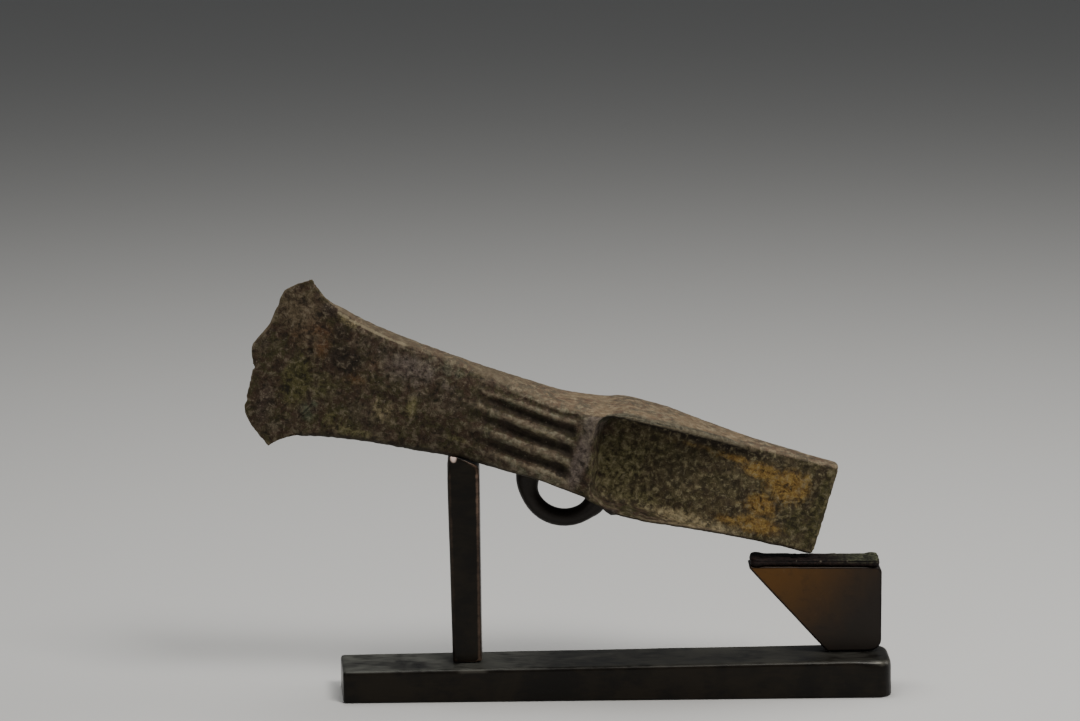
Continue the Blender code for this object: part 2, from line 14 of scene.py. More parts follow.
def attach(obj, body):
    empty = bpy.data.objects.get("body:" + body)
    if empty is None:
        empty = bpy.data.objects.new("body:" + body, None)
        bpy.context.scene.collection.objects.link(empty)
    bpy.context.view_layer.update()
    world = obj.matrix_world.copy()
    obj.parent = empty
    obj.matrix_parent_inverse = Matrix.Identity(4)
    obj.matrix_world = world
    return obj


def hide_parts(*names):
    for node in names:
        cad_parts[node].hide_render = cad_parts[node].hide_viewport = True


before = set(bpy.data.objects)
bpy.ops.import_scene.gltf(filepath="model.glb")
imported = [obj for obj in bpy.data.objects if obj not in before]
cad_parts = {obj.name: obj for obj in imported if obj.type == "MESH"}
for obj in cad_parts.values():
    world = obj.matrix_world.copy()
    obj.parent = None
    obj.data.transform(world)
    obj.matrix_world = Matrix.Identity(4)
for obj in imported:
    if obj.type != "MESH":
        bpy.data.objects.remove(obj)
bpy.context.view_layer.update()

MM = 0.001

# Sizes of the dense copies' voxels.
AXE_VOXEL = 0.47 * MM
BASE_VOXEL = 0.42 * MM
BLOCK_VOXEL = 0.30 * MM
PAD_VOXEL = 0.20 * MM

# Rounds of smoothing that tell hollows from crests, and the percentile that counts as a full edge.
CLOSE_ROUNDS = 6
BROAD_ROUNDS = 50
SHARPEST_SHARE = 99.7

# How the axe lies.
AXE_TILT = radians(16.5)
AXE_TURN = radians(1.5)
AXE_PLACE = Vector((0.0601676, 0.0051662, 0.0510631))
AXE_AXES = Matrix.Rotation(pi + AXE_TURN, 3, "Z") @ Matrix.Rotation(-AXE_TILT, 3, "Y")


# Repeatable noise on arrays of points, in millimetres.

def lattice(cells, seed):
    """A number from 0 to 1 for each whole-number cell."""
    x, y, z = (cells[:, k].astype(np.int64) for k in range(3))
    n = (x * 73856093) ^ (y * 19349663) ^ (z * 83492791) ^ (seed * 2654435761)
    n = (n ^ (n >> 13)) & 0xFFFFFFFF
    n = (n * 1274126177) & 0xFFFFFFFF
    n = n ^ (n >> 16)
    n = (n * 2246822519) & 0xFFFFFFFF
    n = n ^ (n >> 15)
    return (n & 0xFFFFFF) / float(0xFFFFFF)


def soft_noise(points, size, seed):
    """Smooth noise from -1 to 1 whose bumps are about one size across."""
    scaled = points / size + 57.3 * seed
    cell = np.floor(scaled)
    t = scaled - cell
    t = t * t * t * (t * (t * 6 - 15) + 10)
    total = np.zeros(len(points))
    for dx in (0, 1):
        for dy in (0, 1):
            for dz in (0, 1):
                weight = (t[:, 0] if dx else 1 - t[:, 0]) * (t[:, 1] if dy else 1 - t[:, 1])
                weight = weight * (t[:, 2] if dz else 1 - t[:, 2])
                total += weight * lattice(cell + (dx, dy, dz), seed)
    return 2 * total - 1


def rough_noise(points, size, seed, layers):
    """Noise from -1 to 1 in layers, each half as large as the one before and weaker."""
    total, weight, norm = np.zeros(len(points)), 1.0, 0.0
    for k in range(layers):
        total += weight * soft_noise(points, size / 2 ** k, seed + k)
        norm += weight
        weight *= 0.55
    return total / norm


def pit_field(points, cell_size, share, radius, seed):
    """Round hollows strewn through space: 1 in the middle of a hollow, 0 outside all of them."""
    scaled = points / cell_size
    cell = np.floor(scaled)
    deepest = np.zeros(len(points))
    for dx in (-1, 0, 1):
        for dy in (-1, 0, 1):
            for dz in (-1, 0, 1):
                near = cell + (dx, dy, dz)
                there = lattice(near, seed) < share
                centre = near + np.stack([lattice(near, seed + k) for k in (1, 2, 3)], 1)
                size = radius * (0.55 + 0.9 * lattice(near, seed + 4)) / cell_size
                away = ((scaled - centre) ** 2).sum(1) / size ** 2
                deepest = np.maximum(deepest, there * np.maximum(0, 1 - away) ** 1.5)
    return deepest


def ease(start, end, x):
    t = np.clip((x - start) / (end - start), 0, 1)
    return t * t * (3 - 2 * t)


# Dense working copies of the CAD nodes.

def mesh_points(mesh):
    flat = np.empty(len(mesh.vertices) * 3)
    mesh.vertices.foreach_get("co", flat)
    return flat.reshape(-1, 3)


def mesh_normals(mesh):
    flat = np.empty(len(mesh.vertices) * 3)
    mesh.vertex_normals.foreach_get("vector", flat)
    return flat.reshape(-1, 3)


def move_points(mesh, points):
    mesh.vertices.foreach_set("co", points.reshape(-1))
    mesh.update()


def smoothed(mesh, points, rounds):
    """The points after each has been moved to the middle of its neighbours a few times."""
    flat = np.empty(len(mesh.edges) * 2, dtype=np.int64)
    mesh.edges.foreach_get("vertices", flat)
    a, b = flat[0::2], flat[1::2]
    count = np.bincount(flat, minlength=len(points))
    for _ in range(rounds):
        total = np.zeros_like(points)
        for k in range(3):
            total[:, k] = np.bincount(a, points[b, k], len(points))
            total[:, k] += np.bincount(b, points[a, k], len(points))
        points = 0.5 * points + 0.5 * total / count[:, None]
    return points


def keep_values(mesh, name, values):
    layer = mesh.attributes.new(name, "FLOAT", "POINT")
    layer.data.foreach_set("value", values.astype(np.float32))


def keep_hollows(mesh):
    """Keeps how far each point lies in a hollow (+) or on a crest (-), close up and broadly."""
    points, normals = mesh_points(mesh), mesh_normals(mesh)

    def hollow(rounds):
        return ((smoothed(mesh, points, rounds) - points) * normals).sum(1) / MM

    close = hollow(CLOSE_ROUNDS)
    keep_values(mesh, "close_hollow", close)
    keep_values(mesh, "worn_edge", -close / np.percentile(-close, SHARPEST_SHARE))
    keep_values(mesh, "broad_hollow", hollow(BROAD_ROUNDS))
    keep_values(mesh, "upward", normals[:, 2])


def working_copy(node, name, voxel):
    """A dense copy of a node's mesh that takes its place and can carry real relief."""
    thing = bpy.data.objects.new(name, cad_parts[node].data.copy())
    bpy.context.collection.objects.link(thing)
    remesh = thing.modifiers.new("dense", "REMESH")
    remesh.mode = "VOXEL"
    remesh.voxel_size = voxel
    remesh.use_smooth_shade = True
    dense = bpy.data.meshes.new_from_object(thing.evaluated_get(bpy.context.evaluated_depsgraph_get()))
    thing.modifiers.clear()
    thing.data = dense
    dense.name = name
    dense.shade_smooth()
    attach(thing, "root")
    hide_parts(node)
    return thing


def dress(thing, material):
    thing.data.materials.clear()
    thing.data.materials.append(material)


# Shader arithmetic.

class Val:
    """A socket of a material's nodes that can be used in Python arithmetic."""

    def __init__(self, socket):
        self.socket = socket

    def math(self, operation, *others, swap=False):
        operands = [self, *others]
        if swap:
            operands.reverse()
        tree = self.socket.id_data
        return add_node(tree, "ShaderNodeMath", {"operation": operation}, dict(enumerate(operands)))

    def __add__(self, other):
        return self.math("ADD", other)

    def __radd__(self, other):
        return self.math("ADD", other)

    def __sub__(self, other):
        return self.math("SUBTRACT", other)

    def __rsub__(self, other):
        return self.math("SUBTRACT", other, swap=True)

    def __mul__(self, other):
        return self.math("MULTIPLY", other)

    def __rmul__(self, other):
        return self.math("MULTIPLY", other)

    def most(self, other):
        return self.math("MAXIMUM", other)

    def eased(self, start, end):
        """0 up to start, 1 from end on, or the other way round if end is the lower."""
        settings = {"interpolation_type": "SMOOTHSTEP"}
        low, high = min(start, end), max(start, end)
        out = add_node(self.socket.id_data, "ShaderNodeMapRange", settings,
                       {"Value": self, "From Min": low, "From Max": high})
        return out if start < end else 1 - out


def add_node(tree, kind, settings=None, values=None, output=0):
    """Makes any node: its settings first, then the values or links of its sockets."""
    node = tree.nodes.new(kind)
    for name, setting in (settings or {}).items():
        if name == "stops":
            ramp = node.color_ramp
            while len(ramp.elements) < len(setting):
                ramp.elements.new(0.5)
            for element, (place, colour) in zip(ramp.elements, setting):
                element.position = place
                element.color = (*colour, 1)
        else:
            setattr(node, name, setting)
    for name, value in (values or {}).items():
        socket = node.inputs[name]
        if isinstance(value, Val):
            tree.links.new(value.socket, socket)
        elif isinstance(value, tuple) and len(value) == 3 and socket.type == "RGBA":
            socket.default_value = (*value, 1)
        else:
            socket.default_value = value
    return Val(node.outputs[output])


class Finish:
    """A material whose colour, roughness and bump are built up in layers."""

    def __init__(self, name):
        self.material = bpy.data.materials.new(name)
        self.material.use_nodes = True
        self.tree = self.material.node_tree
        self.shader = self.tree.nodes["Principled BSDF"]

    def node(self, kind, settings=None, values=None, output=0):
        return add_node(self.tree, kind, settings, values, output)

    def place(self):
        """The place in the part's frame, in millimetres."""
        coords = self.node("ShaderNodeTexCoord", output="Object")
        return self.node("ShaderNodeVectorMath", {"operation": "SCALE"}, {0: coords, "Scale": 1 / MM})

    def axe_place(self):
        """The place along the axe's own axes, in millimetres."""
        coords = self.node("ShaderNodeTexCoord", output="Object")
        back = AXE_AXES.transposed()
        start = back @ AXE_PLACE
        return self.node("ShaderNodeMapping", {"vector_type": "POINT"},
                         {"Vector": coords, "Location": tuple(-c / MM for c in start),
                          "Rotation": tuple(back.to_euler()), "Scale": (1 / MM, 1 / MM, 1 / MM)})

    def split(self, vector):
        node = self.tree.nodes.new("ShaderNodeSeparateXYZ")
        self.tree.links.new(vector.socket, node.inputs[0])
        return [Val(node.outputs[k]) for k in range(3)]

    def stretched(self, vector, scale):
        """A place scaled along each axis, so that a pattern on it is drawn out where the scale is low."""
        return self.node("ShaderNodeMapping", {"vector_type": "POINT"},
                         {"Vector": vector, "Scale": scale})

    def noise(self, where, size, detail, rough, warp=0.0):
        """Noise from 0 to 1 with features of about one size, in millimetres."""
        return self.node("ShaderNodeTexNoise", {"noise_dimensions": "3D"},
                         {"Vector": where, "Scale": 1 / size, "Detail": detail, "Roughness": rough,
                          "Distortion": warp})

    def cells(self, where, size):
        """Distance from the nearest of many scattered points, as a share of one size in millimetres."""
        return self.node("ShaderNodeTexVoronoi", {"feature": "F1"},
                         {"Vector": where, "Scale": 1 / size})

    def value(self, name):
        return self.node("ShaderNodeAttribute", {"attribute_name": name}, output="Fac")

    def mix(self, factor, one, two):
        """A colour between two, from the first at 0 to the second at 1."""
        settings = {"data_type": "RGBA", "blend_type": "MIX", "clamp_factor": True}
        return self.node("ShaderNodeMix", settings, {0: factor, 6: one, 7: two}, output=2)

    def ramp(self, factor, stops):
        return self.node("ShaderNodeValToRGB", {"stops": stops}, {"Fac": factor})

    def bump(self, height, depth):
        """A normal from a height whose full range is so many millimetres deep."""
        return self.node("ShaderNodeBump", {},
                         {"Height": height, "Distance": depth * MM, "Strength": 1.0})

    def feed(self, name, value):
        socket = self.shader.inputs[name]
        if isinstance(value, Val):
            self.tree.links.new(value.socket, socket)
        else:
            socket.default_value = value


# The axe's relief. Paths and spots lie on the seen side, in millimetres along u and v.

BED_RIM = ((65.9, -13.1), (67.6, -8.2), (68.9, -2.7), (69.8, 2.9), (69.0, 6.6), (67.1, 10.1),
           (62.5, 11.7), (56.3, 12.5), (45.0, 13.0), (33.4, 13.0), (22.5, 11.6))
# The rim's lower corner, where it is filled up to one height.
RIM_CORNER = ((59.6, -13.8), (62.0, -13.5), (64.4, -12.9), (66.0, -12.1))
RIM_HEIGHT = 14.5
SCRATCH = ((150.2, -14.2), (148.8, -11.8), (147.3, -9.2))
# Single hollows: place, radius and depth.
DENTS = ((151.8, 5.1, 0.9, 0.45), (151.7, 2.5, 0.8, 0.40), (158.4, -12.2, 2.3, 0.22),
         (146.0, 9.0, 1.2, 0.25), (61.7, 1.7, 1.1, 0.40), (58.0, -4.5, 0.9, 0.30),
         (76.4, -7.6, 1.4, 0.30), (80.6, -6.7, 1.2, 0.25), (132.5, 3.5, 1.0, 0.25),
         (127.0, -6.0, 1.1, 0.25), (38.7, 3.7, 1.0, 0.25), (97.8, -8.0, 1.2, 0.22))

# The corrosion's uneven skin: size, layers and seed, then its depth everywhere and what the
# blade and the beds add to it.
SKIN = ((7.0, 3, 3, 0.18, 0.0, 0.0), (2.2, 3, 11, 0.22, 0.10, 0.26), (1.15, 2, 16, 0.14, 0.12, 0.20))
# Its pits: spacing, share of places with one, radius and seed, then the same three depths.
PITS = ((2.2, 0.40, 0.75, 21, 0.10, 0.06, 0.10), (5.0, 0.35, 1.25, 31, 0.04, 0.08, 0.12),
        (9.0, 0.35, 2.6, 41, 0.0, 0.16, 0.0))
SCRATCH_DEPTH = 0.30
RIM_GROOVE_DEPTH = 0.20
BED_STEP_DEPTH = 0.22
FILLET_DEPTH = 0.40
NICK_DEPTH = 0.75

# The outline is read in steps of one millimetre, and on the lower side not across the loop.
OUTLINE_STEPS = 171
LOOP_START, LOOP_END = 58, 90

# The patina's zones, with painted shade among the dark ones and painted light among the pale ones: each
# spot's middle, its half sizes and its strength.
SPOTS = {
    "rust": ((148.6, 7.0, 3.2, 4.0, 1.0), (150.5, 11.5, 6.5, 3.0, 0.65), (138.0, 1.5, 4.5, 3.0, 0.55),
             (156.5, 8.0, 3.0, 3.5, 0.5), (133.0, 7.0, 3.5, 3.0, 0.45)),
    "tan": ((157.0, 14.6, 8.0, 8.0, 1.3), (154.0, 8.5, 5.5, 4.0, 0.8)),
    "ochre": ((13.0, 4.2, 8.6, 6.2, 1.5), (21.0, 6.6, 9.0, 3.2, 1.2), (30.0, 8.2, 8.0, 1.5, 1.0),
              (18.5, -8.6, 9.5, 3.6, 1.2), (19.0, -3.0, 7.0, 5.0, 1.1), (27.5, -9.4, 6.0, 2.2, 0.8),
              (42.0, 8.6, 9.0, 1.1, 0.5)),
    "khaki": ((120.7, -2.2, 1.9, 3.4, 1.0), (105.5, -7.2, 3.4, 1.3, 1.0), (136.0, -13.4, 9.5, 1.8, 0.9),
              (60.0, -2.0, 11.0, 11.0, 1.1), (52.0, -9.5, 11.0, 3.0, 0.9), (52.0, 5.0, 7.0, 4.0, 0.6)),
    "olive": ((153.0, -4.0, 5.6, 10.5, 1.25), (146.0, -4.0, 5.0, 6.0, 0.6), (141.0, -11.0, 5.5, 3.6, 0.7),
              (8.0, -5.5, 5.5, 6.0, 0.9), (2.4, 0.0, 3.6, 16.0, 1.4), (88.0, 1.9, 6.0, 0.9, 0.5),
              (145.0, 16.5, 5.0, 2.0, 0.6)),
    "verdigris": ((148.6, -11.8, 3.0, 3.4, 0.9), (147.0, -9.0, 2.0, 1.6, 0.8), (114.0, 11.0, 8.0, 3.0, 0.5),
                  (94.2, 7.2, 4.5, 0.8, 0.8)),
    # Dark crust and pits; the long spot along the bed's upper wall, at (40.0, 10.9), is a painted shadow
    # under the upper flange.
    "soot": ((142.0, 5.6, 6.6, 5.2, 1.25), (149.6, 17.5, 3.4, 2.6, 1.0), (145.0, 12.5, 3.6, 3.2, 0.8),
             (158.4, -12.2, 2.4, 1.6, 0.9), (76.6, -7.6, 4.6, 2.0, 0.7), (97.8, -8.2, 2.4, 1.0, 0.8),
             (40.0, 10.9, 30.0, 2.0, 1.3), (151.6, 4.0, 1.8, 2.4, 0.6)),
    "purple": ((160.5, -13.0, 3.6, 9.5, 0.9), (136.0, 12.0, 7.0, 3.2, 0.5), (112.0, 3.0, 11.0, 6.0, 0.45),
               (44.0, 1.0, 9.0, 7.0, 0.45)),
    # Pale crust; the long spot on the bed's lower wall, at (38.0, -11.6), is partly cream crust and partly
    # painted light on that upward-facing wall.
    "pale": ((143.0, 16.4, 3.4, 1.8, 0.8), (38.0, -11.6, 15.0, 2.0, 1.3), (56.9, 6.3, 1.2, 0.8, 0.8),
             (84.0, 1.3, 9.0, 1.2, 0.5), (82.0, -4.5, 9.0, 1.0, 0.5), (128.0, -5.0, 5.0, 3.5, 0.35)),
    "lilac": ((72.2, -2.0, 3.0, 12.0, 1.3), (71.0, 8.5, 4.2, 4.6, 1.2), (124.0, 8.5, 13.0, 6.0, 0.7)),
}


def path_distance(u, v, path):
    """Distance in millimetres of each point from a path, seen square on."""
    near = np.full(len(u), 1e9)
    for (u0, v0), (u1, v1) in zip(path, path[1:]):
        du, dv = u1 - u0, v1 - v0
        along = np.clip(((u - u0) * du + (v - v0) * dv) / (du * du + dv * dv), 0, 1)
        near = np.minimum(near, np.hypot(u - u0 - along * du, v - v0 - along * dv))
    return near


def side_line(u, v, way):
    """How far each point lies inside the axe's outline on one narrow side, in millimetres."""
    bins = np.clip(u.astype(int), 0, OUTLINE_STEPS - 1)
    reach = np.full(OUTLINE_STEPS, -np.inf)
    body = (way > 0) | (u < LOOP_START) | (u > LOOP_END)
    np.maximum.at(reach, bins[body], (way * v)[body])
    known = np.nonzero(np.isfinite(reach))[0]
    return np.interp(u, known + 0.5, reach[known]) - way * v


def axe_relief(thing):
    mesh = thing.data
    points = mesh_points(mesh)
    back = np.array(AXE_AXES.transposed())
    along, through, width = (np.array(AXE_AXES.col[k]) for k in range(3))

    def local_of(points):
        return (points - np.array(AXE_PLACE)) @ back.T / MM

    u, w, v = local_of(points).T
    upper_depth, lower_depth = side_line(u, v, 1), side_line(u, v, -1)
    neck = ease(62, 70, u) * ease(150, 112, u)
    soft = neck * ease(3.4, 1.8, upper_depth)
    soft = np.maximum(soft, 0.7 * ease(2.6, 1.4, lower_depth) * ease(90, 96, u) * ease(150, 130, u))
    soft = np.maximum(soft, 0.6 * ease(2.2, 0.6, u))
    points += soft[:, None] * (smoothed(mesh, points, 26) - points)
    corner = path_distance(u, v, RIM_CORNER)
    short = np.maximum(0, RIM_HEIGHT - 0.55 * corner ** 2 - abs(w))
    raised = short * ease(2.0, 1.2, corner) * ease(7.5, 9.5, abs(w))
    points += np.outer(raised * np.sign(w) * MM, through)
    soft = ease(3.0, 1.6, corner) * ease(7.0, 9.0, abs(w))
    points += soft[:, None] * (smoothed(mesh, points, 4) - points)
    move_points(mesh, points)

    local = local_of(points)
    normals = mesh_normals(mesh)
    u, w, v = local.T
    outward = normals @ through
    seen = ease(-0.5, 0.5, w)
    loop = ease(-12.6, -13.6, v) * ease(LOOP_START, LOOP_START + 2, u) * ease(LOOP_END, LOOP_END - 2, u)
    blade = ease(84, 108, u)
    bed = ease(66, 63, u) * ease(7.5, 6.0, abs(w)) * ease(13.2, 12.2, abs(v))
    shoulder = ease(69, 71, u) * ease(78, 75, u)
    plain = (1 - 0.88 * loop) * (1 - 0.6 * shoulder)

    sunk = np.zeros(len(u))
    for size, layers, seed, everywhere, on_blade, in_bed in SKIN:
        depth = everywhere + on_blade * blade + in_bed * bed
        sunk += depth * (0.5 + 0.5 * rough_noise(local, size, seed, layers))
    for spacing, share, radius, seed, everywhere, on_blade, in_bed in PITS:
        depth = everywhere + on_blade * blade + in_bed * bed
        sunk += depth * pit_field(local, spacing, share, radius, seed)
    step = ease(-0.5, 0.5, u - 52.0 - 0.28 * v) * ease(66, 62, u)
    sunk += BED_STEP_DEPTH * bed * seen * (1 - step) * ease(28, 36, u)
    at_post = ease(98, 103, u) * ease(117, 112, u) * ease(-5, -7, v)
    swell = 0.24 * ease(8, 14, u) * ease(152, 144, u) * ease(14.2, 13.0, abs(w)) * (1 - at_post)
    sunk = (sunk - swell) * plain
    sunk *= 0.35 + 0.65 * ease(164.0, 150.0, u)

    rim = path_distance(u, v, BED_RIM)
    on_top = ease(0.3, 0.6, abs(outward)) * ease(6.5, 8.5, abs(w))
    groove = on_top * ease(0.75, 1.0, rim) * ease(1.5, 1.2, rim) * ease(-9, -5, v) * ease(33, 45, u)
    scratch = seen * ease(0.42, 0.12, path_distance(u, v, SCRATCH)) * ease(0.3, 0.6, outward)
    sunk += RIM_GROOVE_DEPTH * groove + SCRATCH_DEPTH * scratch
    for du, dv, radius, depth in DENTS:
        ring = np.hypot(u - du, v - dv) / radius + 0.35 * soft_noise(local, 1.1, 61)
        sunk += depth * seen * ease(1.0, 0.3, ring) * ease(0.2, 0.5, outward)
    points = points - normals * (sunk * MM)[:, None]

    nick = pit_field(local * (1, 0.2, 1), 3.4, 0.55, 1.5, 51) * ease(150, 156, u)
    forward = np.maximum(0, normals @ along)
    points = points - along * (NICK_DEPTH * nick * forward * MM)[:, None]
    fillet = ease(2.2, 0.0, abs(u - 61.2)) * ease(-11.8, -13.4, v)
    points = points - width * (FILLET_DEPTH * fillet * MM)[:, None]
    move_points(mesh, points)

    keep_hollows(mesh)
    across = normals @ width
    # The upper narrow side faces up; the finish paints it tan and lighter, partly its patina and partly
    # painted light from above.
    on_side = ease(4.2, 2.6, upper_depth) * ease(152, 147, u)
    keep_values(mesh, "upper_side", ease(0.30, 0.85, across) * on_side)
    # The underside, facing down, which the finish paints darker as painted shade.
    keep_values(mesh, "lower_side", ease(-0.45, -0.80, across))
    # A thin pale line along the blade's upper corner: partly crust, partly painted highlight.
    edge = ease(0.75, 0.20, abs(upper_depth - 1.45)) * seen
    keep_values(mesh, "upper_edge", edge * ease(118, 131, u) * ease(150, 146, u))
    lip = ease(3.0, 1.8, rim) * ease(6.0, 8.0, w) * ease(8.0, 10.0, v) * ease(0.0, 0.35, outward)
    keep_values(mesh, "lip", lip * ease(16, 24, u))
    keep_values(mesh, "loop", loop)
    keep_values(mesh, "ribbed", ease(71, 76, u) * ease(114, 86, u))
    keep_values(mesh, "bed", bed)
    for name, spots in SPOTS.items():
        field = np.full(len(u), -1.0)
        for su, sv, ru, rv, strength in spots:
            field = np.maximum(field, strength * (1 - np.hypot((u - su) / ru, (v - sv) / rv)))
        keep_values(mesh, name, field * seen - (1 - seen))


# The axe's colours: the patina's ground, the crust on it and what lies in its hollows, and the painted
# light and shade on its sides, crests and loop.
GROUND_BROWN = (0.040, 0.023, 0.013)
GROUND_OLIVE = (0.036, 0.031, 0.011)
DULL_BROWN = (0.062, 0.046, 0.030)
GREY_CRUST = (0.110, 0.086, 0.056)
PALE_CRUST = (0.180, 0.150, 0.104)
DARK_SKIN = (0.011, 0.0075, 0.0045)
DARK_GAPS = (0.007, 0.005, 0.003)
DEEP_HOLLOW = (0.009, 0.006, 0.004)
# Crests: partly worn patina, partly painted highlight.
CREST_WEAR_AND_HIGHLIGHT = (0.180, 0.142, 0.088)
PALE_SPECKS = (0.260, 0.220, 0.160)
# Partly painted highlight along the blade's upper corner.
PALE_EDGE = (0.210, 0.176, 0.112)
GROOVE_DIRT = (0.014, 0.010, 0.006)
# Painted shade for the underside.
UNDERSIDE_SHADE = (0.014, 0.010, 0.007)
BED_CRUMBS = (0.230, 0.198, 0.108)
BED_GAPS = (0.013, 0.009, 0.0035)
# The upper side's colours: tan patina, made lighter as painted light from above.
SIDE_SAND = (0.160, 0.114, 0.066)
SIDE_CREAM = (0.235, 0.190, 0.120)
SIDE_RUST = (0.200, 0.108, 0.052)
SIDE_GAPS = (0.030, 0.022, 0.014)
SIDE_SHADE = (0.048, 0.038, 0.024)

# Each zone's strength and its darkest and lightest colour, in the order in which they are laid on.
ZONE_COLOURS = (
    ("tan", 0.80, (0.048, 0.033, 0.018), (0.125, 0.092, 0.056)),
    ("purple", 0.70, (0.018, 0.012, 0.009), (0.056, 0.038, 0.029)),
    ("olive", 0.88, (0.021, 0.019, 0.005), (0.082, 0.074, 0.024)),
    ("khaki", 0.85, (0.048, 0.041, 0.015), (0.165, 0.146, 0.066)),
    ("verdigris", 0.70, (0.034, 0.040, 0.024), (0.105, 0.118, 0.074)),
    ("rust", 0.68, (0.042, 0.019, 0.007), (0.120, 0.056, 0.022)),
    ("lilac", 0.80, (0.058, 0.044, 0.037), (0.150, 0.120, 0.103)),
    ("ochre", 0.90, (0.125, 0.062, 0.012), (0.285, 0.185, 0.045)),
    ("pale", 0.85, (0.110, 0.086, 0.042), (0.330, 0.265, 0.148)),
    ("soot", 0.88, (0.008, 0.005, 0.003), (0.028, 0.018, 0.011)))


def axe_finish():
    """Brown to olive patina in zones, with paler crests and darker hollows; the crests and the upper side
    are partly painted light, the underside and the loop painted shade.
    """
    f = Finish("axe_patina")
    place = f.axe_place()
    close, broad = f.value("close_hollow"), f.value("broad_hollow")
    upper, loop = f.value("upper_side"), f.value("loop")

    cloud = f.noise(place, 9.0, 5, 0.6, 0.4)
    hue = f.noise(place, 3.4, 6, 0.70, 0.6)
    blotch = f.noise(place, 2.3, 6, 0.72, 0.3)
    grain = f.noise(place, 1.1, 5, 0.70)
    fine = f.noise(place, 0.5, 3, 0.6)
    curl = f.noise(place, 1.7, 6, 0.70, 0.45)
    ragged = blotch * 0.5 + hue * 0.5 - 0.5

    def zone(name, reach):
        """One of the patina's zones, with a ragged edge."""
        return (f.value(name) + ragged * 2.4).eased(-0.05, 0.75) * reach

    colour = f.mix(hue.eased(0.42, 0.58), GROUND_BROWN, GROUND_OLIVE)
    colour = f.mix(cloud.eased(0.50, 0.66) * 0.5, colour, DULL_BROWN)
    colour = f.mix(blotch.eased(0.50, 0.64) * 0.50, colour, GREY_CRUST)
    colour = f.mix(blotch.eased(0.47, 0.36) * 0.55, colour, DARK_SKIN)

    for name, reach, dark, light in ZONE_COLOURS:
        own = f.mix((grain * 0.35 + curl * 0.40 + blotch * 0.25).eased(0.42, 0.60), dark, light)
        colour = f.mix(zone(name, reach), colour, own)

    strokes = 1 - f.value("ribbed") * 0.25
    colour = f.mix(curl.eased(0.52, 0.66) * strokes * 0.50, colour, PALE_CRUST)
    colour = f.mix(curl.eased(0.48, 0.36) * strokes * 0.75, colour, DARK_GAPS)

    bed = f.value("bed") * (1 - zone("ochre", 0.8)) * (1 - zone("olive", 0.7))
    earth = f.mix(blotch.eased(0.42, 0.60), (0.030, 0.023, 0.010), (0.082, 0.066, 0.028))
    kept = 1 - zone("pale", 0.8).most(zone("soot", 0.9)).most(zone("khaki", 0.7))
    colour = f.mix(bed * kept * 0.55, colour, earth)
    crumbs = bed * (curl * 0.6 + grain * 0.4).eased(0.50, 0.63)
    colour = f.mix(crumbs * 0.62, colour, BED_CRUMBS)
    gaps = bed * (curl * 0.5 + grain * 0.5).eased(0.45, 0.36)
    colour = f.mix(gaps * 0.55, colour, BED_GAPS)

    # Rib crests paler: partly worn patina, partly painted highlight.
    crest = f.value("ribbed") * (broad + (blotch - 0.5) * 0.35).eased(-0.04, -0.22)
    crest_wear_and_highlight = f.mix(hue.eased(0.42, 0.60), (0.200, 0.162, 0.112), (0.225, 0.210, 0.150))
    colour = f.mix(crest * (0.30 + 0.70 * curl.eased(0.44, 0.60)) * 0.66, colour, crest_wear_and_highlight)
    groove = f.value("ribbed") * (broad + (curl - 0.5) * 0.20).eased(0.03, 0.17)
    colour = f.mix(groove * 0.68, colour, GROOVE_DIRT)

    # The upper side: tan patina with painted light from above.
    side = f.mix(hue.eased(0.40, 0.60), (0.098, 0.062, 0.038), (0.058, 0.055, 0.038))
    side = f.mix(cloud.eased(0.42, 0.60) * 0.65, side, SIDE_SAND)
    side = f.mix((blotch * 0.5 + curl * 0.5).eased(0.48, 0.60) * 0.75, side, SIDE_CREAM)
    side = f.mix(hue.eased(0.55, 0.64) * 0.45, side, SIDE_RUST)
    side = f.mix((curl * 0.6 + blotch * 0.4).eased(0.47, 0.37) * 0.75, side, SIDE_GAPS)
    towards_edge = f.split(place)[0].eased(78, 104)
    side = f.mix(towards_edge * (0.30 + 0.35 * cloud.eased(0.40, 0.60)), side, SIDE_SHADE)
    colour = f.mix((upper + ragged * 2.0).eased(0.25, 0.85) * 0.90, colour, side)
    lip = f.mix(grain.eased(0.44, 0.60), (0.024, 0.022, 0.013), (0.082, 0.078, 0.054))
    colour = f.mix((f.value("lip") + ragged * 1.2).eased(0.15, 0.6) * 0.9, colour, lip)
    # The pale line along the upper corner: partly crust, partly painted highlight.
    edge = (f.value("upper_edge") + ragged * 2.0).eased(0.50, 0.90)
    colour = f.mix(edge * 0.65, colour, PALE_EDGE)

    colour = f.mix(close.eased(0.03, 0.16) * 0.60, colour, DEEP_HOLLOW)
    # Crests paler: partly worn patina, partly painted highlight.
    colour = f.mix(close.eased(-0.02, -0.12) * 0.35, colour, CREST_WEAR_AND_HIGHLIGHT)
    speck = f.cells(place, 1.2)
    colour = f.mix(speck.eased(0.20, 0.10) * blotch.eased(0.46, 0.56) * 0.35, colour, PALE_SPECKS)
    # Painted shade: the loop near black, and the rest of the underside darker.
    accent_colour = f.mix(fine, (0.006, 0.0045, 0.0035), (0.014, 0.010, 0.008))
    colour = f.mix(loop * 0.97, colour, accent_colour)
    colour = f.mix(f.value("lower_side") * (1 - loop) * 0.7, colour, UNDERSIDE_SHADE)

    f.feed("Base Color", colour)
    f.feed("Metallic", 0.20)
    f.feed("Specular IOR Level", 0.25)
    f.feed("Roughness", 0.62 + grain * 0.28 - loop * 0.25)
    height = blotch * 0.30 + grain * 0.30 + curl * 0.28 + fine * 0.12
    f.feed("Normal", f.bump(height * (1 - loop * 0.9), 1.05))
    return f.material


# The stand.

# What the stand's bronze shows where it is worn, with painted highlights on some edges and at one spot, and
# dust with a painted sheen on top.
COPPER_EDGE = (0.36, 0.23, 0.16)
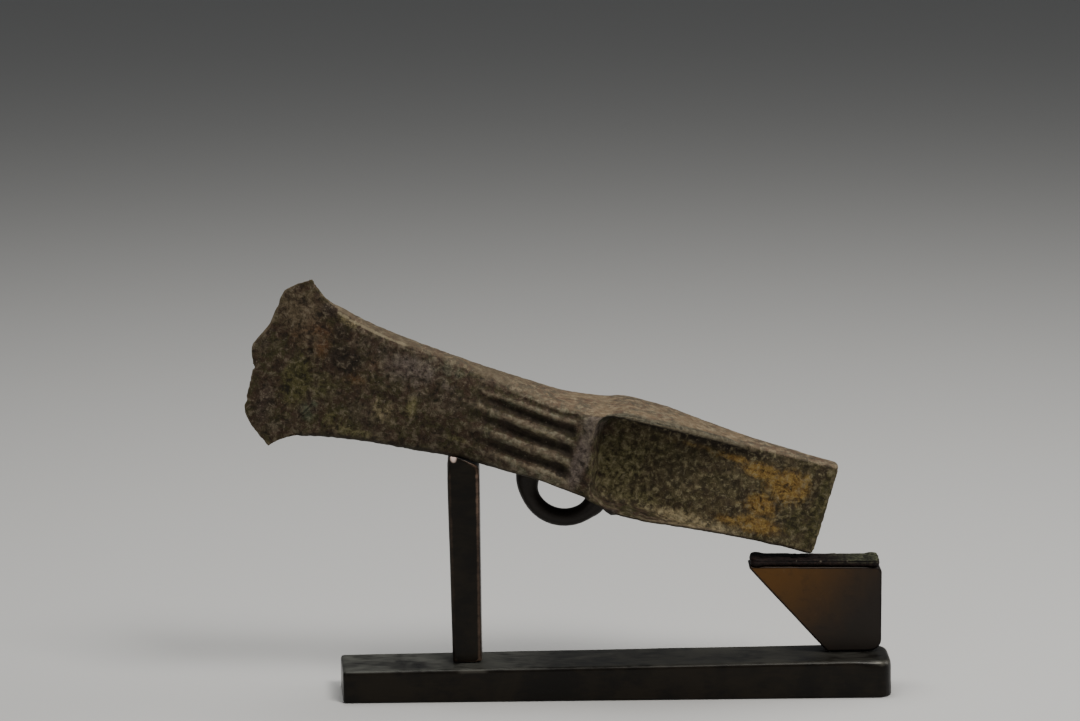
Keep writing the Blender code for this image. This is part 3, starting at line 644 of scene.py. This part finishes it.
# A painted highlight on the base bar's right end.
GREY_EDGE_HIGHLIGHT = (0.26, 0.25, 0.21)
PAINTED_GLINT = (0.85, 0.66, 0.58)
DUST_AND_SHEEN = (0.082, 0.084, 0.074)
# The middle of the post's painted highlight, a glint near its top corner, across and up, in millimetres.
POST_GLINT = (-44.5, 68.6)


def stand_relief(thing, size, depth, pits, seed, soft=None, rounds=0):
    """Sinks slight unevenness and pits in, after rounding off where soft, a share from 0 to 1, says."""
    mesh = thing.data
    points = mesh_points(mesh)
    if soft:
        points = points + soft(points / MM)[:, None] * (smoothed(mesh, points, rounds) - points)
        move_points(mesh, points)
    normals = mesh_normals(mesh)
    local = points / MM
    sunk = depth * (0.5 + 0.5 * rough_noise(local, size, seed, 3))
    sunk += pits * pit_field(local, 3.0, 0.2, 0.6, seed + 9)
    foot = ease(0.2, 1.2, local[:, 2])
    move_points(mesh, points - normals * (sunk * foot * MM)[:, None])
    keep_hollows(mesh)


def stand_finish(name, wear_and_highlight, dust_and_sheen_share, accent_colour, spot=None):
    """Near-black bronze, paler on some edges, partly worn and partly painted highlight, with a painted
    highlight at one spot (x, z), and on top dust with a painted sheen.
    """
    f = Finish(name)
    place = f.place()
    x, y, z = f.split(place)
    cloud = f.noise(place, 14.0, 5, 0.6, 0.5)
    grain = f.noise(f.stretched(place, (0.30, 1, 1)), 1.2, 5, 0.6)
    fine = f.noise(place, 0.6, 3, 0.6)
    tone = (cloud * 0.7 + grain * 0.3).eased(0.40, 0.62)
    colour = f.mix(tone, (0.004, 0.003, 0.002), (0.011, 0.008, 0.0045))
    # Paler edges: partly worn bronze, partly painted highlight.
    edge = (f.value("worn_edge") + (grain - 0.5) * 0.3 + (cloud - 0.5) * 0.3).eased(0.16, 0.50)
    colour = f.mix(edge * wear_and_highlight(x, z), colour, accent_colour)
    # A painted highlight: a bright glint at one spot on the front.
    if spot:
        across, up = x - spot[0], z - spot[1]
        away = across * across + up * up * 0.7 + (grain - 0.5) * 1.2
        colour = f.mix(away.eased(1.3, 0.0) * y.eased(0.0, -2.0), colour, PAINTED_GLINT)
    # Dust and a painted sheen on the upward faces, weaker towards the right, which is painted shade from
    # the axe above.
    dust_and_sheen = f.value("upward").eased(0.35, 0.95) * (cloud * 0.6 + grain * 0.4).eased(0.34, 0.60)
    dust_and_sheen = dust_and_sheen * (0.45 + 0.55 * x.eased(10, -60)) * dust_and_sheen_share
    colour = f.mix(dust_and_sheen * 0.85, colour, DUST_AND_SHEEN)
    f.feed("Base Color", colour)
    f.feed("Metallic", 0.30)
    f.feed("Specular IOR Level", 0.22)
    f.feed("Roughness", 0.34 + (grain - 0.5) * 0.25 + (cloud - 0.5) * 0.20 + dust_and_sheen * 0.2)
    f.feed("Normal", f.bump(grain * 0.7 + fine * 0.3, 0.05))
    return f.material


def base_softness(at):
    """How far the base bar's edges are rounded off: at its right end, above the foot."""
    return ease(66, 73, at[:, 0]) * ease(2, 5, at[:, 2])


def post_softness(at):
    """How far the post's edges are rounded off: at its top."""
    return ease(63, 66, at[:, 2])


def base_highlight_and_wear(x, z):
    """Where the base bar's edges are paler: a painted highlight on its right end, and a worn strip on the
    front edge before the post.
    """
    before_post = x.eased(-44.5, -42.5) * x.eased(-35.0, -37.0)
    return 0.5 * x.eased(70.0, 74.0) * z.eased(2.0, 6.0) + 0.16 * before_post * z.eased(5.0, 7.0)


def post_wear_and_highlight(x, z):
    """Where the post's edges are paler, partly worn and partly painted highlight: its right edge most."""
    return 0.06 + 0.08 * z.eased(30, 60) + (0.14 + 0.24 * z.eased(35, 64)) * x.eased(-43, -40)


def wedge_finish():
    """Golden brown at the slanted end and greyer towards the upright one."""
    f = Finish("golden_bronze")
    place = f.place()
    x, _, z = f.split(place)
    cloud = f.noise(place, 9.0, 5, 0.6, 0.5)
    grain = f.noise(f.stretched(place, (0.4, 1, 0.6)), 1.4, 5, 0.62)
    golden = ((x * -1.0 + z * 0.80) * 0.040 + 2.0 + (cloud - 0.5) * 0.8).eased(-0.2, 1.5)
    colour = f.mix(golden, (0.019, 0.015, 0.012), (0.092, 0.042, 0.009))
    colour = f.mix(grain.eased(0.47, 0.34) * 0.25, colour, (0.014, 0.009, 0.006))
    colour = f.mix(grain.eased(0.60, 0.70) * golden * 0.3, colour, (0.130, 0.080, 0.045))
    outline = (f.value("worn_edge") + (grain - 0.5) * 0.3).eased(0.08, 0.32)
    colour = f.mix(outline * 0.85, colour, (0.007, 0.005, 0.004))
    f.feed("Base Color", colour)
    f.feed("Metallic", 0.40)
    f.feed("Specular IOR Level", 0.25)
    f.feed("Roughness", 0.42 + (grain - 0.5) * 0.30)
    f.feed("Normal", f.bump(grain, 0.05))
    return f.material


def pad_relief(thing):
    """Lumpy plies, rolled a little thicker at both ends."""
    mesh = thing.data
    points, normals = mesh_points(mesh), mesh_normals(mesh)
    local = points / MM
    x, _, z = local.T
    left, right = x.min(), x.max()
    sunk = 0.42 * (0.5 + 0.5 * rough_noise(local * (0.6, 1, 1), 1.7, 100, 3))
    sunk += 0.24 * pit_field(local, 2.6, 0.5, 0.9, 106)
    end = np.maximum(ease(left + 4.0, left + 1.8, x), ease(right - 4.0, right - 1.8, x))
    sunk -= 0.40 * end + 0.10
    middle = ease(right - 5, right - 8, x) * ease(left + 4.5, left + 7, x)
    contact = ease(z.max() - 0.35, z.max() - 0.15, z) * middle
    sunk = np.where(contact > 0, np.maximum(sunk, 0.05 * contact), sunk)
    under = ease(z.min() + 0.3, z.min(), z)
    points = points - normals * (sunk * (1 - under) * MM)[:, None]
    move_points(mesh, points)
    keep_hollows(mesh)


def pad_finish():
    """Near-black leather, painted lighter and grey-green on top towards the right as painted light, with
    pale crumbs in the seam.
    """
    f = Finish("pad_plies")
    place = f.place()
    x = f.split(place)[0]
    close = f.value("close_hollow")
    grain = f.noise(place, 0.8, 5, 0.65)
    cloud = f.noise(place, 3.0, 4, 0.6)
    mixed = grain * 0.6 + cloud * 0.4
    colour = f.ramp(mixed, [
        (0.40, (0.004, 0.0025, 0.002)), (0.54, (0.013, 0.007, 0.006)), (0.68, (0.034, 0.021, 0.016))])
    # Painted light: the top lighter and grey-green towards the right, where the overhead light falls.
    lit_right_top = (x - 64.0 + (cloud - 0.5) * 14).eased(-8, 7) * f.value("upward").eased(-0.1, 0.6)
    own = f.mix(mixed.eased(0.44, 0.60), (0.009, 0.010, 0.005), (0.062, 0.068, 0.036))
    colour = f.mix(lit_right_top * 0.80, colour, own)
    colour = f.mix(close.eased(0.005, 0.05) * 0.95, colour, (0.003, 0.002, 0.002))
    crumb = f.cells(place, 1.3).eased(0.30, 0.16) * grain.eased(0.50, 0.60)
    colour = f.mix(crumb * close.eased(-0.01, 0.04) * 0.8, colour, (0.200, 0.180, 0.140))
    f.feed("Base Color", colour)
    f.feed("Metallic", 0.0)
    f.feed("Specular IOR Level", 0.16)
    f.feed("Roughness", 0.50 + grain * 0.35)
    f.feed("Normal", f.bump(grain, 0.30))
    return f.material


# Floor, light and camera.

FLOOR_REACH = 8.0
FLOOR_COLOUR = (0.50, 0.50, 0.49, 1)
SKY_COLOUR = (0.80, 0.82, 0.84, 1)
SKY_STRENGTH = 0.14
# The soft lights: name, place, size across and up, power and colour. All face the same point.
LIT_POINT = (-0.01, 0, 0.06)
LIGHTS = (("key_light", (0.26, -0.36, 0.74), (0.28, 0.28), 6.0, (1.0, 0.97, 0.93)),
          ("top_light", (-0.10, 0.12, 0.80), (0.40, 0.30), 4.0, (1.0, 0.99, 0.97)),
          ("front_light", (-0.45, -0.95, 0.35), (0.5, 0.5), 0.9, (1.0, 0.97, 0.93)),
          ("right_light", (0.70, 0.05, 0.30), (0.2, 0.5), 1.6, (1.0, 0.98, 0.96)))

# The camera looks from one metre away, tilted down and turned a little about its own axis.
CAMERA_AIM = Vector((-0.02005, 0, 0.09555))
CAMERA_DISTANCE = 1.0
CAMERA_PITCH = radians(11.0)
CAMERA_ROLL = radians(0.627)
LENS = 120.0
SENSOR_WIDTH = 36.0


def make_floor():
    mesh = bpy.data.meshes.new("floor")
    reach = FLOOR_REACH
    mesh.from_pydata([(-reach, -reach, 0), (reach, -reach, 0), (reach, reach, 0), (-reach, reach, 0)], [],
                     [(0, 1, 2, 3)])
    floor = bpy.data.objects.new("floor", mesh)
    bpy.context.collection.objects.link(floor)
    f = Finish("floor_paper")
    f.feed("Base Color", FLOOR_COLOUR)
    f.feed("Roughness", 0.85)
    mesh.materials.append(f.material)


def soft_light(name, place, size, power, colour):
    light = bpy.data.lights.new(name, "AREA")
    light.shape = "RECTANGLE"
    light.size, light.size_y = size
    light.energy = power
    light.color = colour
    lamp = bpy.data.objects.new(name, light)
    bpy.context.collection.objects.link(lamp)
    lamp.location = place
    lamp.rotation_euler = (Vector(LIT_POINT) - Vector(place)).to_track_quat("-Z", "Y").to_euler()


def make_light():
    world = bpy.data.worlds.new("studio")
    world.use_nodes = True
    world.node_tree.nodes["Background"].inputs["Color"].default_value = SKY_COLOUR
    world.node_tree.nodes["Background"].inputs["Strength"].default_value = SKY_STRENGTH
    bpy.context.scene.world = world
    for light in LIGHTS:
        soft_light(*light)


def make_camera():
    look = Vector((0, cos(CAMERA_PITCH), -sin(CAMERA_PITCH)))
    side, up = Vector((1, 0, 0)), Vector((0, sin(CAMERA_PITCH), cos(CAMERA_PITCH)))
    right = side * cos(CAMERA_ROLL) - up * sin(CAMERA_ROLL)
    upward = side * sin(CAMERA_ROLL) + up * cos(CAMERA_ROLL)
    data = bpy.data.cameras.new("camera")
    data.lens = LENS
    data.sensor_width = SENSOR_WIDTH
    data.sensor_fit = "HORIZONTAL"
    data.clip_end = 50
    camera = bpy.data.objects.new("camera", data)
    bpy.context.collection.objects.link(camera)
    turn = Matrix((right, upward, -look)).transposed()
    camera.matrix_world = Matrix.Translation(CAMERA_AIM - look * CAMERA_DISTANCE) @ turn.to_4x4()
    bpy.context.scene.camera = camera


def main():
    make_floor()
    make_light()
    make_camera()

    axe = working_copy("axe_head", "axe_casting", AXE_VOXEL)
    axe_relief(axe)
    dress(axe, axe_finish())

    base = working_copy("stand_base", "base_bar", BASE_VOXEL)
    stand_relief(base, size=14.0, depth=0.10, pits=0.05, seed=70, soft=base_softness, rounds=40)
    post = working_copy("stand_post", "notched_post", BLOCK_VOXEL)
    stand_relief(post, size=11.0, depth=0.10, pits=0.04, seed=80, soft=post_softness, rounds=44)
    dress(base, stand_finish("base_bronze", base_highlight_and_wear, 1.0, GREY_EDGE_HIGHLIGHT))
    dress(post, stand_finish("post_bronze", post_wear_and_highlight, 0.0, COPPER_EDGE, POST_GLINT))
    wedge = working_copy("stand_wedge", "wedge_block", BLOCK_VOXEL)
    stand_relief(wedge, size=9.0, depth=0.10, pits=0.04, seed=90)
    dress(wedge, wedge_finish())
    pad = working_copy("wedge_pad", "pad_plies", PAD_VOXEL)
    pad_relief(pad)
    dress(pad, pad_finish())


main()
